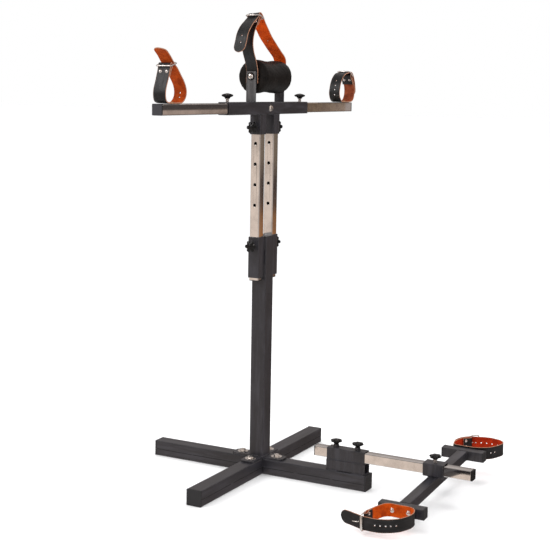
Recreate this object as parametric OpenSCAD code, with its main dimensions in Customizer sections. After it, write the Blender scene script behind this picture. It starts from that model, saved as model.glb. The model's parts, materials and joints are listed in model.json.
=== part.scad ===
// Adjustable floor stand: a cross base and a square column carry a telescoping
// crossbar with two strap cuffs, a padded roller with a neck strap, and a
// sliding ankle bar with two more cuffs. The origin is on the floor under the
// column, +Z is up and +X points along the base tube that carries the ankle bar.

/* [Base and column] */
// Width of the square base tubes and of the column
base_tube = 40; // [36:1:44]
// Wall of the base tubes and of the column
base_wall = 2; // [1.5:0.5:3]
// Reach of the base from the column's axis to each end along Y
base_reach_y = 323; // [260:1:360]
// Reach of the base from the column's axis to each end along X
base_reach_x = 306; // [304:1:340]
// Height of the column's top above the floor
column_top = 610; // [590:1:612]
// Thickness of the foot's ears
foot_t = 5; // [4:1:6]
// Length of each ear, out from the column's face
foot_ear = 52; // [50:1:56]
// Distance of each foot bolt from the column's axis
foot_bolt_at = 49; // [47:1:50]

/* [Tubes and sleeves] */
// Width of the plated tubes that slide
slide_tube = 25; // [25:1:25]
// Wall of the plated tubes
slide_wall = 1.5; // [1:0.5:2]
// Outer width of the sleeves
sleeve = 30; // [30:1:30]
// Wall of the sleeves
sleeve_wall = 2; // [2:0.5:2]
// Length of the two sleeves on the column
lower_sleeve_l = 102; // [95:1:106]
// Length of the two sleeves under the crossbar
upper_sleeve_l = 48.5; // [40:0.5:60]
// Length of the two posts
post_l = 404; // [400:1:406]
// Height of the posts' lower ends above the floor
post_foot = 502; // [500:1:503]
// Spacing of the holes in the posts
post_hole_pitch = 50.5; // [45:0.5:51]
// Diameter of the holes in the posts
post_hole_d = 8; // [6:0.5:8]

/* [Crossbar] */
// Height of the crossbar's axis above the floor
bar_z = 925.5; // [925.5:0.5:926]
// Half the length of the crossbar's centre sleeve
bar_half = 204; // [202:1:210]
// Reach of each arm's end from the middle of the stand
arm_reach = 486; // [484:1:492]
// Length of each sliding arm, with its cap
arm_l = 444; // [430:1:450]
// Distance of each arm's knob from the middle of the stand
bar_knob_at = 187; // [184:1:190]

/* [Roller] */
// Height of the roller's axle above the floor
roller_z = 1001.5; // [1000:0.5:1003]
// Largest diameter of the roller
roller_d = 81; // [76:1:82]
// Length of the roller
roller_l = 133; // [126:1:133]
// Distance of each roller bracket's middle from the middle of the stand
bracket_at = 73; // [73:0.5:74]
// Width of the roller brackets
bracket_w = 26; // [22:1:30]
// Thickness of the roller brackets
bracket_t = 3.5; // [3:0.5:4]
// Height of the brackets above the crossbar
bracket_h = 73; // [72:1:76]

/* [Straps] */
// Width of every strap
strap_w = 32; // [28:1:34]
// Thickness of every strap
strap_t = 3; // [2.5:0.5:3]
// Distance of the left wrist cuff from the middle of the stand
cuff_near_at = 436; // [430:1:438]
// Distance of the right wrist cuff from the middle of the stand
cuff_far_at = 447; // [430:1:448]

/* [Ankle bar] */
// Distance of the ankle sleeve's inner end from the column's axis
ankle_in = 197; // [190:1:200]
// Length of the ankle sleeve and of the spacer under it
ankle_l = 101; // [95:1:104]
// Height of the spacer under the ankle sleeve
spacer_h = 27; // [26:1:30]
// Distance of the ankle tube's inner end from the column's axis
tube_in = 161; // [150:1:165]
// Length of the ankle tube, with its caps
tube_l = 413; // [400:1:420]
// Distance of the spreader's middle from the column's axis
spreader_at = 477; // [470:1:485]
// Length of the spreader's sleeve
spreader_sleeve_l = 52; // [46:1:56]
// Outer width of the spreader's sleeve
spreader_sleeve = 32; // [32:1:33]
// Width of the spreader's tubes
spreader_tube_w = 25; // [22:1:26]
// Half the length of the spreader, to the outer faces of its cross tubes
spreader_half = 216; // [200:1:225]
// Length of each cross tube
cross_l = 111; // [100:1:120]
// Lean of the spreader about the ankle tube, in the play of its sleeve
spreader_lean = 3.7; // [0:0.1:3.8]

/* [Knobs] */
// Diameter of the star knobs
knob_d = 30; // [26:1:32]
// Number of lobes on each knob
knob_lobes = 6; // [5:1:8]

/* [Hidden] */
eps = 0.01;
base_corner = 3;
tube_corner = 2;
cap_flange = 4;
cap_plug = 14;
column_foot_z = base_tube + foot_t;
sleeve_y = (base_tube + sleeve) / 2;
lower_sleeve_z = column_top - lower_sleeve_l;
upper_sleeve_z = bar_z - sleeve / 2 - upper_sleeve_l;
bar_top = bar_z + sleeve / 2;
arm_top = bar_z + slide_tube / 2;
bracket_top = bar_top + bracket_h;
ankle_z = base_tube + spacer_h + sleeve / 2;
ankle_block_top = ankle_z + sleeve / 2;
post_holes_z = [for (i = [0:3]) 840 - i * post_hole_pitch];
stud_r = 3.95;
stud_hole_r = 4;
// How far a stud reaches in from its sleeve's face, 0.3 short of the tube inside
stud_in = (sleeve - slide_tube) / 2 - 0.3;
spreader_stud_in = 2.4;
knob_post_z = column_top - 22;
knob_head_z = upper_sleeve_z + 17;
knob_ankle_x = [216, 274];
nut_h = 7;
nut_af = 13;
axle_r = 4;
axle_bore_r = 4.05;
punch_r = 1.75;
strap_seat = 1.8;
screw_r = 1.5;
screw_hole_r = 1.6;
wrist_screw_x = 7;
ankle_screw_x = 20;

black = [0.16, 0.15, 0.15];
plate = [0.80, 0.76, 0.72];
steel = [0.75, 0.75, 0.76];
plastic = [0.08, 0.08, 0.08];
leather = [0.12, 0.12, 0.13];

// ---- Strap outlines -------------------------------------------------------
// Each strap starts with the flap that is folded round its buckle's pin and
// riveted, and ends with its tail.
// The wrist cuffs stand in the plane across the arm. Their points are (out, up)
// from the middle of the cuff's seat, where "out" points away from the column.
near_cuff = [[23.8, 58], [18.6, 71], [13.9, 80.5], [16.4, 86.4], [20.3, 82.5], [22.2, 73],
    [27.4, 58], [36.5, 36], [39.9, 20], [36.5, 7.5], [28, 2.8], [14, 1.8],
    [-14, 1.8], [-28, 3], [-40, 13], [-43.3, 28], [-37, 43], [-22, 60], [-7, 75.5],
    [3, 83], [13, 92], [31, 109], [48, 117.5]];
far_cuff = [[37.4, 49.6], [32, 59], [22.5, 69.5], [20.5, 75.5], [26, 75.5], [35.6, 62],
    [41.5, 53], [47.5, 41], [48.5, 28], [43.5, 12.5], [32, 3.6], [14, 1.8],
    [-14, 1.8], [-33, 3.2], [-45, 13], [-49.3, 27.4], [-43, 50.5], [-27, 69.5], [-10, 78],
    [4, 79.8], [16, 83], [28, 81.5], [38.5, 72.5], [46, 60.5], [52, 45], [53.8, 28], [51.5, 16]];
// The neck strap's two halves, as (along the crossbar, up from the floor)
neck_buckle_half = [[-69, 985], [-69, 1000], [-69, 1016], [-76, 1035], [-90.5, 1062],
    [-94, 1085], [-86, 1107], [-73.5, 1125.5], [-67, 1135.5], [-61.6, 1143.5], [-57.2, 1146.2],
    [-55.6, 1140.8], [-64, 1133.6], [-70.7, 1123.6]];
neck_tail_half = [[69, 985], [69, 1000], [69.5, 1016], [74, 1031], [73.5, 1042.5], [65, 1052.5],
    [50, 1062], [1, 1094.5], [-31, 1124], [-44, 1138], [-51, 1145.5], [-58, 1150.5],
    [-64.5, 1149.5], [-68.5, 1141.5], [-80, 1134], [-95, 1124.5], [-111, 1110.5], [-121, 1096],
    [-127, 1080], [-138, 1057]];
// The ankle cuffs lie flat: (along the cross tube, out from its face)
front_cuff = [[-47.5, 49], [-51, 61], [-48.6, 74.8], [-52, 80.4], [-55.4, 75.5], [-54.6, 61],
    [-49.5, 43], [-41, 20], [-35, 8.5], [-24.5, 2.2], [-10, 1.8], [10, 1.8], [24.5, 2.2],
    [34, 7.5], [41, 20], [43, 40], [37, 59], [25, 77], [5, 91], [-18, 98], [-40, 98],
    [-54, 95.5], [-79, 86], [-104, 78], [-112, 76]];
rear_cuff = [[-24.7, 55.2], [-19.4, 60.8], [-10.8, 66], [-8.7, 72.3], [-14.6, 72], [-23.2, 64],
    [-29, 55.6], [-34.5, 41], [-37, 20], [-32, 6.5], [-24.5, 2.2], [-10, 1.8], [10, 1.8],
    [24.5, 2.2], [41, 8.5], [60, 22], [75, 48], [77, 66], [68, 79], [50, 86], [30, 87.6],
    [12, 84], [-3, 79.4], [-15, 75.8], [-25, 68.2], [-32.6, 57.6], [-38.5, 42], [-41.5, 24]];

// ---- Helpers --------------------------------------------------------------
// Outline of a square of width s whose corners are rounded to radius r
function round_square(s, r, n = 3) = [for (c = [0:3], i = [0:n])
    let (a = c * 90 + i * 90 / n, q = s / 2 - r, k = c * 90 + 45)
    [q * sign(cos(k)) + r * cos(a), q * sign(sin(k)) + r * sin(a)]];

// One point of a smooth curve through the list p, at t from 0 to 1 past point i
function spline_at(p, i, t) = let (m = len(p) - 1,
    a = p[max(i - 1, 0)], b = p[i], c = p[min(i + 1, m)], d = p[min(i + 2, m)])
    0.5 * (2 * b + (c - a) * t + (2 * a - 5 * b + 4 * c - d) * t * t
    + (3 * b - a - 3 * c + d) * t * t * t);
function smooth(p, n = 3) = concat([for (i = [0:len(p) - 2], k = [0:n - 1])
    spline_at(p, i, k / n)], [p[len(p) - 1]]);

// Outline of a ribbon of thickness t along the curve p
function across(p, i) = let (d = p[min(i + 1, len(p) - 1)] - p[max(i - 1, 0)],
    l = norm(d)) [-d[1] / l, d[0] / l];
function ribbon(p, t) = concat([for (i = [0:len(p) - 1]) p[i] + across(p, i) * t / 2],
    [for (i = [len(p) - 1:-1:0]) p[i] - across(p, i) * t / 2]);

// A square tube of length l along +Z
module tube(s, wall, l, corner = tube_corner) {
    linear_extrude(l) difference() {
        polygon(round_square(s, corner));
        square(s - 2 * wall, center = true);
    }
}

// A plastic end cap: a flange over the tube's end at z = 0 and a plug inside it
module end_cap(s, wall, flange = cap_flange) {
    linear_extrude(flange) polygon(round_square(s, tube_corner));
    translate([0, 0, -cap_plug]) linear_extrude(cap_plug + eps) difference() {
        square(s - 2 * wall - 0.2, center = true);
        square(s - 2 * wall - 5, center = true);
    }
}

module along_x() { rotate([0, 90, 0]) children(); }
module along_y() { rotate([-90, 0, 0]) children(); }
module to_front() { rotate([90, 0, 0]) children(); }

// A strap along the curve p, its band along Z, punched at the places [i, t] of the
// curve and rounded at the end of its tail
module strap_band(p, holes, tail) {
    q = smooth(p);
    tip = q[len(q) - 1];
    run = tip - q[len(q) - 3];
    difference() {
        translate([0, 0, -strap_w / 2]) linear_extrude(strap_w) polygon(ribbon(q, strap_t));
        for (h = holes) {
            d = spline_at(p, h[0], h[1] + 0.05) - spline_at(p, h[0], h[1] - 0.05);
            translate(concat(spline_at(p, h[0], h[1]), 0)) rotate(atan2(d[1], d[0])) along_y()
                cylinder(r = punch_r, h = 3 * strap_t, center = true, $fn = 24);
        }
        if (tail) translate(concat(tip, 0)) rotate(atan2(run[1], run[0])) difference() {
            translate([-strap_w / 2, -8, -strap_w]) cube([strap_w, 16, 2 * strap_w]);
            translate([-strap_w / 2 - 1, 0, 0]) along_y()
                cylinder(r = strap_w / 2 + 2, h = 30, center = true, $fn = 48);
        }
    }
}

// A strap whose curve p lies in a plane across X
module strap_upright(p, holes = [], tail = true) { rotate([90, 0, 90]) strap_band(p, holes, tail); }

// A strap whose curve p lies flat, with its band standing up
module strap_flat(p, holes = []) { strap_band(p, holes, true); }

// A star knob on +Z, standing on its sleeve's face, with its stud below
module star_knob(stud_down) {
    rim_z = 15;
    head_r = knob_d / 2;
    difference() {
        rotate_extrude($fn = 48) polygon([[0, 8.3], [5, 8.3], [7, 11], [head_r - 1.5, rim_z - 2],
            [head_r, rim_z - 1], [head_r, rim_z + 1], [head_r - 1.5, rim_z + 2],
            [8, 19.5], [4, 20.8], [0, 20.8]]);
        for (i = [0:knob_lobes - 1]) rotate(i * 360 / knob_lobes)
            translate([head_r + 2.2, 0, 0]) cylinder(r = 5, h = 30, $fn = 32);
    }
    translate([0, 0, -stud_down]) cylinder(r = stud_r, h = stud_down + 8.3 + eps, $fn = 32);
}

// A hexagon nut of height h on +Z, with a clear hole for a stud
module boss_nut(h) {
    difference() {
        cylinder(d = nut_af / cos(30), h = h, $fn = 6);
        translate([0, 0, -1]) cylinder(r = stud_hole_r, h = h + 2, $fn = 32);
    }
}

// A wire buckle in the plane of X and Y: its pin lies pin_at from the middle, and
// its prong runs from the pin to the bar at tip_at
module buckle(pin_at, tip_at, w = 42, d = 26) {
    bar = 3;
    difference() {
        cube([w, d, bar], center = true);
        cube([w - 2 * bar, d - 2 * bar, bar + 1], center = true);
    }
    translate([0, pin_at, 0]) along_x() cylinder(r = bar / 2, h = w - bar, center = true, $fn = 24);
    reach = tip_at - pin_at;
    translate([0, pin_at + reach / 2, bar / 2 + 1]) along_y()
        cylinder(r = 1.2, h = abs(reach) + bar, center = true, $fn = 24);
}

// Two rivets through the doubled strap along p at the place [i, t], apart across it.
// side is 1 where the flap lies to the right of the curve and -1 where to the left
module fold_rivets(p, i, t, apart, side, layers) {
    stack = layers + strap_t;
    d = spline_at(p, i, t + 0.05) - spline_at(p, i, t - 0.05);
    translate(concat(spline_at(p, i, t), 0)) rotate(atan2(d[1], d[0])) mirror([0, side < 0 ? 1 : 0, 0])
        for (z = [-apart / 2, apart / 2]) translate([0, strap_t / 2, z]) along_y() {
            cylinder(r1 = 3.6, r2 = 2.6, h = 1.3, $fn = 32);
            translate([0, 0, -stack - 0.6]) cylinder(r = screw_r, h = stack + 0.7, $fn = 24);
            translate([0, 0, -stack - 0.8]) cylinder(r1 = 2.4, r2 = 3, h = 1, $fn = 32);
        }
}

// A screw's head on +Z, with its shank below it
module screw(r, h, shank) {
    cylinder(r1 = r, r2 = r * 0.7, h = h, $fn = 24);
    translate([0, 0, -shank]) cylinder(r = screw_r, h = shank + eps, $fn = 24);
}

// A cylinder of radius r across the whole part along Z, for a stud's hole
module stud_hole() { cylinder(r = stud_hole_r, h = 12, center = true, $fn = 32); }

// ---- Base and column ------------------------------------------------------
module base_tube_blank(l) { tube(base_tube, base_wall, l, base_corner); }
module foot_bolt_holes() {
    for (a = [0, 90, 180, 270]) rotate(a) translate([foot_bolt_at, 0, base_tube - 6])
        cylinder(r = 4.2, h = 30, $fn = 32);
}

module base_long_tube() { color(black) {
    l = 2 * (base_reach_y - cap_flange);
    difference() {
        translate([0, -l / 2, base_tube / 2]) along_y() base_tube_blank(l);
        foot_bolt_holes();
    }
} }

module base_short_tube(side) { color(black) {
    l = base_reach_x - cap_flange - base_tube / 2;
    difference() {
        mirror([side < 0 ? 1 : 0, 0, 0])
            translate([base_tube / 2, 0, base_tube / 2]) along_x() base_tube_blank(l);
        foot_bolt_holes();
    }
} }

module base_end_caps() { color(plastic) {
    for (s = [0, 180]) rotate(s) {
        translate([base_reach_x - cap_flange, 0, base_tube / 2]) along_x()
            end_cap(base_tube, base_wall);
        translate([0, base_reach_y - cap_flange, base_tube / 2]) along_y()
            end_cap(base_tube, base_wall);
    }
} }

module column_tube() { color(black)
    translate([0, 0, column_foot_z]) tube(base_tube, base_wall, column_top - column_foot_z - 3,
        base_corner);
}

module column_foot() { color(black) {
    chamfer = 8;
    half = base_tube / 2 - 1;
    reach = base_tube / 2 + foot_ear;
    difference() {
        translate([0, 0, base_tube]) linear_extrude(foot_t) {
            square(base_tube, center = true);
            for (a = [0, 90, 180, 270]) rotate(a) polygon([[0, -half], [reach - chamfer, -half],
                [reach, -half + chamfer], [reach, half - chamfer], [reach - chamfer, half],
                [0, half]]);
        }
        foot_bolt_holes();
    }
} }

module column_cap() { color(black)
    translate([0, 0, column_top - 3]) linear_extrude(3) polygon(round_square(base_tube, base_corner));
}

module foot_bolts() { color(steel)
    for (a = [0, 90, 180, 270]) rotate(a) translate([foot_bolt_at, 0, column_foot_z + 1.6]) {
        cylinder(d = 15, h = 5.3, $fn = 6);
        translate([0, 0, -foot_t - 5.2]) cylinder(r = 4, h = foot_t + 5.2 + eps, $fn = 32);
    }
}

module foot_washers() { color(steel)
    for (a = [0, 90, 180, 270]) rotate(a) translate([foot_bolt_at, 0, column_foot_z])
        difference() {
            cylinder(r = 14, h = 1.6, $fn = 48);
            translate([0, 0, -1]) cylinder(r = 4.2, h = 4, $fn = 32);
        }
}

// ---- Post sleeves and posts ----------------------------------------------
// side is -1 for the front of the column and 1 for its rear
module post_sleeve(side, z, l, knob_z) { color(black)
    difference() {
        translate([0, side * sleeve_y, z]) tube(sleeve, sleeve_wall, l);
        translate([0, side * (sleeve_y + sleeve / 2), knob_z]) along_y() stud_hole();
    }
}
module lower_sleeve_front() { post_sleeve(-1, lower_sleeve_z, lower_sleeve_l, knob_post_z); }
module lower_sleeve_rear() { post_sleeve(1, lower_sleeve_z, lower_sleeve_l, knob_post_z); }
module upper_sleeve_front() { post_sleeve(-1, upper_sleeve_z, upper_sleeve_l, knob_head_z); }
module upper_sleeve_rear() { post_sleeve(1, upper_sleeve_z, upper_sleeve_l, knob_head_z); }

module post(side) { color(plate)
    difference() {
        translate([0, side * sleeve_y, post_foot]) tube(slide_tube, slide_wall, post_l);
        for (z = post_holes_z) translate([0, side * sleeve_y, z]) along_y()
            cylinder(d = post_hole_d, h = slide_tube + 2, center = true, $fn = 32);
    }
}
module post_front() { post(-1); }
module post_rear() { post(1); }

module post_plugs() { color(plastic)
    for (s = [-1, 1]) translate([0, s * sleeve_y, post_foot]) mirror([0, 0, 1])
        end_cap(slide_tube, slide_wall, 1.5);
}

// ---- Crossbar -------------------------------------------------------------
module bar_sleeve() { color(black)
    difference() {
        translate([0, -bar_half, bar_z]) along_y() tube(sleeve, sleeve_wall, 2 * bar_half);
        for (s = [-1, 1]) translate([0, s * bar_knob_at, bar_top]) stud_hole();
        translate([sleeve / 2, 0, bar_z]) along_x() cylinder(r = 3.1, h = 10, center = true, $fn = 32);
    }
}

module bar_stop_bolt() { color(steel)
    translate([sleeve / 2, 0, bar_z]) along_x() {
        cylinder(d = 13, h = 4.2, $fn = 6);
        translate([0, 0, -sleeve + 5]) cylinder(r = 3, h = sleeve - 5 + eps, $fn = 32);
    }
}

module arm(side, cuff_at) { color(plate)
    difference() {
        mirror([0, side < 0 ? 1 : 0, 0]) translate([0, arm_reach - arm_l, bar_z]) along_y()
            tube(slide_tube, slide_wall, arm_l - cap_flange);
        on_arm(side, cuff_at) seat_holes();
    }
}
module arm_near() { arm(-1, cuff_near_at); }
module arm_far() { arm(1, cuff_far_at); }

module arm_cap(side) { color([0.25, 0.25, 0.26])
    mirror([0, side < 0 ? 1 : 0, 0]) translate([0, arm_reach - cap_flange, bar_z]) along_y()
        end_cap(slide_tube, slide_wall);
}
module arm_near_cap() { arm_cap(-1); }
module arm_far_cap() { arm_cap(1); }

// ---- Roller and neck strap -------------------------------------------------
module roller_bracket(side) { color(black)
    difference() {
        translate([-bracket_w / 2, side * bracket_at - bracket_t / 2, bar_top])
            cube([bracket_w, bracket_t, bracket_h]);
        translate([0, side * bracket_at, roller_z]) along_y()
            cylinder(r = axle_bore_r, h = 12, center = true, $fn = 32);
    }
}
module roller_bracket_near() { roller_bracket(-1); }
module roller_bracket_far() { roller_bracket(1); }

module roller_axle() { color(steel)
    translate([0, -bracket_at - bracket_t / 2 - 1.6, roller_z]) {
        span = 2 * bracket_at + bracket_t + 1.6;
        along_y() cylinder(r = axle_r, h = span + 12, $fn = 32);
        to_front() cylinder(r = 6.5, h = 4.5, $fn = 32);
        translate([0, span + 1.6, 0]) along_y() cylinder(d = 15, h = 6.5, $fn = 6);
    }
}

module axle_washers() { color(plastic)
    for (s = [-1, 1]) {
        at = bracket_at + bracket_t / 2;
        translate([0, s > 0 ? at : -at - 1.6, roller_z]) along_y() difference() {
            cylinder(r = 9, h = 1.6, $fn = 32);
            translate([0, 0, -1]) cylinder(r = axle_bore_r + 0.1, h = 4, $fn = 32);
        }
    }
}

module roller_pad() { color([0.1, 0.09, 0.08]) {
    r = roller_d / 2;
    h = roller_l / 2;
    translate([0, 0, roller_z]) along_y() difference() {
        rotate_extrude($fn = 64) polygon([[11, -h], [r - 9, -h], [r - 4, -h + 1.5], [r - 1, -h + 5],
            [r, -h + 11], [r - 1.2, -h + 32], [r - 3, 0], [r - 1.2, h - 32], [r, h - 11],
            [r - 1, h - 5], [r - 4, h - 1.5], [r - 9, h], [11, h]]);
        cylinder(r = 11, h = 3 * h, center = true, $fn = 48);
    }
} }

module roller_core() { color(plastic)
    translate([0, 0, roller_z]) along_y() difference() {
        cylinder(r = 11, h = roller_l + 0.2, center = true, $fn = 48);
        cylinder(r = axle_bore_r, h = 2 * roller_l, center = true, $fn = 48);
    }
}

module neck_half(p, holes, tail) { color(leather)
    difference() {
        strap_upright(p, holes, tail);
        translate([0, p[0][0], roller_z]) along_y()
            cylinder(r = axle_bore_r + 0.2, h = 10, center = true, $fn = 32);
    }
}
module neck_strap_buckle_side() { neck_half(neck_buckle_half, [], false); }
module neck_strap_tail_side() { neck_half(neck_tail_half, [[6, 0.85], [17, 0], [18, 0]], true); }
module neck_rivets() { color(steel) rotate([90, 0, 90]) fold_rivets(neck_buckle_half, 7, 0.5, 16, 1, 3.3); }
module neck_buckle() { color(steel)
    translate([0, -59, 1142.7]) rotate([-19, 0, 0]) buckle(0, -11.5);
}

// ---- Wrist cuffs ------------------------------------------------------------
module on_arm(side, at) {
    mirror([0, side < 0 ? 1 : 0, 0]) translate([0, at, arm_top]) children();
}
module seat_holes() {
    for (x = [-wrist_screw_x, wrist_screw_x]) translate([x, 0, 0])
        cylinder(r = screw_hole_r, h = 14, center = true, $fn = 24);
}
module wrist_cuff_near() { color(leather) on_arm(-1, cuff_near_at) difference() {
    strap_upright(near_cuff, [[14, 0.05], [14, 0.7]]);
    seat_holes();
} }
module wrist_cuff_far() { color(leather) on_arm(1, cuff_far_at) difference() {
    strap_upright(far_cuff, [[14, 0.6], [15, 0.33], [15, 0.8], [16, 0.37]]);
    seat_holes();
} }
module wrist_buckle_near() { color(steel)
    on_arm(-1, cuff_near_at) translate([0, 13, 83.6]) rotate([-17, 0, 0]) buckle(4, -11.5);
}
module wrist_buckle_far() { color(steel)
    on_arm(1, cuff_far_at) translate([0, 18, 77.6]) rotate([-33, 0, 0]) buckle(6.4, -11.5);
}
module seat_screws(side, at) {
    on_arm(side, at) for (x = [-wrist_screw_x, wrist_screw_x])
        translate([x, 0, strap_seat + strap_t / 2]) screw(3.4, 2, 6);
}
module wrist_fasteners_near() { color(steel) {
    seat_screws(-1, cuff_near_at);
    on_arm(-1, cuff_near_at) rotate([90, 0, 90]) fold_rivets(near_cuff, 5, 0.35, 16, 1, 3.7);
} }
module wrist_fasteners_far() { color(steel) {
    seat_screws(1, cuff_far_at);
    on_arm(1, cuff_far_at) rotate([90, 0, 90]) fold_rivets(far_cuff, 4, 0.8, 16, 1, 5.1);
} }

// ---- Ankle bar ---------------------------------------------------------------
module ankle_spacer() { color(black)
    translate([ankle_in - 1, 0, base_tube + spacer_h / 2]) along_x()
        linear_extrude(ankle_l + 3) difference() {
            polygon([for (q = round_square(sleeve, tube_corner))
                [q[0] * spacer_h / sleeve, q[1]]]);
            square([spacer_h - 2 * sleeve_wall, sleeve - 2 * sleeve_wall], center = true);
        }
}

module ankle_sleeve() { color(black) {
    difference() {
        translate([ankle_in, 0, ankle_z]) along_x() tube(sleeve, sleeve_wall, ankle_l);
        for (x = knob_ankle_x) translate([x, 0, ankle_block_top]) stud_hole();
    }
    for (x = knob_ankle_x) translate([x, 0, ankle_block_top - eps]) boss_nut(nut_h);
} }

module ankle_tube() { color(plate)
    translate([tube_in + 1.5, 0, ankle_z]) along_x()
        tube(slide_tube, slide_wall, tube_l - 1.5 - cap_flange);
}

module ankle_tube_caps() { color(plastic) {
    translate([tube_in + 1.5, 0, ankle_z]) mirror([1, 0, 0]) along_x()
        end_cap(slide_tube, slide_wall, 1.5);
    translate([tube_in + tube_l - cap_flange, 0, ankle_z]) along_x() difference() {
        end_cap(slide_tube, slide_wall);
        translate([0, 0, cap_flange - 1]) linear_extrude(2) square(slide_tube - 9, center = true);
    }
} }

// Places its children in the spreader's own frame: X along the ankle tube, Y along
// the spreader, origin on the ankle tube's axis, leaning in the play of the sleeve
module on_spreader() {
    translate([spreader_at, 0, ankle_z]) rotate([spreader_lean, 0, 0]) children();
}
spreader_z = -(spreader_sleeve + spreader_tube_w) / 2;
cross_y = spreader_half - spreader_tube_w / 2;

module spreader_sleeve_block() { color(black) on_spreader() {
    difference() {
        translate([-spreader_sleeve_l / 2, 0, 0]) along_x()
            tube(spreader_sleeve, sleeve_wall, spreader_sleeve_l);
        translate([0, 0, spreader_sleeve / 2]) stud_hole();
    }
} }

module spreader_tube() { color(black) on_spreader()
    translate([0, -spreader_half + spreader_tube_w, spreader_z]) along_y()
        tube(spreader_tube_w, slide_wall, 2 * (spreader_half - spreader_tube_w));
}

module cross_tube(side) { color(black) difference() {
    on_spreader() translate([-cross_l / 2 + 3, side * cross_y, spreader_z]) along_x()
        tube(spreader_tube_w, slide_wall, cross_l - 6);
    on_cross(side) cross_screw_holes();
} }
module cross_tube_front() { cross_tube(-1); }
module cross_tube_rear() { cross_tube(1); }

module cross_tube_caps() { color(plastic) on_spreader()
    for (s = [-1, 1], e = [0, 1]) translate([0, s * cross_y, spreader_z]) mirror([e, 0, 0])
        translate([cross_l / 2 - 3, 0, 0]) along_x() end_cap(spreader_tube_w, slide_wall, 3);
}

// Places its children on the outer face of a cross tube, Y pointing out from it
module on_cross(side) {
    on_spreader() mirror([0, side < 0 ? 1 : 0, 0]) translate([0, spreader_half, spreader_z + 0.5])
        children();
}
module cross_screw_holes() {
    for (x = [-ankle_screw_x, ankle_screw_x]) translate([x, 0, 0]) along_y()
        cylinder(r = screw_hole_r, h = 14, center = true, $fn = 24);
}
module ankle_cuff_front() { color(leather) on_cross(-1) difference() {
    strap_flat(front_cuff, [[17, 0.15], [17, 0.65], [18, 0.1], [18, 0.6], [19, 0.1]]);
    cross_screw_holes();
} }
module ankle_cuff_rear() { color(leather) on_cross(1) difference() {
    strap_flat(rear_cuff, [[15, 0], [15, 0.38], [18, 0.62], [19, 0.43], [20, 0.16], [20, 0.92],
        [21, 0.8]]);
    cross_screw_holes();
} }

module buckle_on_edge(at, turn, pin_at, tip_at) {
    translate(at) rotate(turn) rotate([90, 90, 90]) buckle(pin_at, tip_at);
}
module ankle_buckles() { color(steel) {
    on_cross(-1) buckle_on_edge([-52, 88.3, 0], 0, -11.5, 11.5);
    on_cross(1) buckle_on_edge([-2.9, 77.7, 0], 131.3, 11.5, -11.5);
} }

module ankle_fasteners() { color(steel) {
    for (s = [-1, 1], x = [-ankle_screw_x, ankle_screw_x]) on_cross(s)
        translate([x, strap_seat + strap_t / 2, 0])
        along_y() screw(4, 2, 6);
    on_cross(-1) fold_rivets(front_cuff, 5, 0.1, 16, -1, 3.4);
    on_cross(1) fold_rivets(rear_cuff, 5, 0.05, 16, -1, 4.9);
} }

// ---- Knobs ---------------------------------------------------------------------
module post_knob(side, z) { color(plastic)
    mirror([0, side > 0 ? 1 : 0, 0]) translate([0, -sleeve_y - sleeve / 2, z])
        to_front() star_knob(stud_in);
}
module knob_post_front() { post_knob(-1, knob_post_z); }
module knob_post_rear() { post_knob(1, knob_post_z); }
module knob_head_front() { post_knob(-1, knob_head_z); }
module knob_head_rear() { post_knob(1, knob_head_z); }
module top_knob(x, y, z, stud_down) { color(plastic) translate([x, y, z]) star_knob(stud_down); }
module knob_arm_near() { top_knob(0, -bar_knob_at, bar_top, stud_in); }
module knob_arm_far() { top_knob(0, bar_knob_at, bar_top, stud_in); }
module knob_ankle_inner() { top_knob(knob_ankle_x[0], 0, ankle_block_top, stud_in); }
module knob_ankle_outer() { top_knob(knob_ankle_x[1], 0, ankle_block_top, stud_in); }
module knob_spreader() { color(plastic)
    on_spreader() translate([0, 0, spreader_sleeve / 2]) star_knob(spreader_stud_in);
}

base_long_tube();
base_short_tube(-1);  // base_left_tube
base_short_tube(1);  // base_right_tube
base_end_caps();
column_tube();
column_foot();
column_cap();
foot_bolts();
foot_washers();
lower_sleeve_front();
lower_sleeve_rear();
ankle_spacer();
ankle_sleeve();
post_front();
post_rear();
post_plugs();
upper_sleeve_front();
upper_sleeve_rear();
bar_sleeve();
bar_stop_bolt();
roller_bracket_near();
roller_bracket_far();
roller_axle();
axle_washers();
roller_pad();
roller_core();
neck_strap_buckle_side();
neck_strap_tail_side();
neck_buckle();
neck_rivets();
arm_near();
arm_near_cap();
wrist_cuff_near();
wrist_buckle_near();
wrist_fasteners_near();
arm_far();
arm_far_cap();
wrist_cuff_far();
wrist_buckle_far();
wrist_fasteners_far();
ankle_tube();
ankle_tube_caps();
spreader_sleeve_block();
spreader_tube();
cross_tube_front();
cross_tube_rear();
cross_tube_caps();
ankle_cuff_front();
ankle_cuff_rear();
ankle_buckles();
ankle_fasteners();
knob_post_front();
knob_post_rear();
knob_head_front();
knob_head_rear();
knob_arm_near();
knob_arm_far();
knob_ankle_inner();
knob_ankle_outer();
knob_spreader();
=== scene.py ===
import json
import math
import bmesh
import bpy
from mathutils import Matrix, Vector, noise

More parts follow.
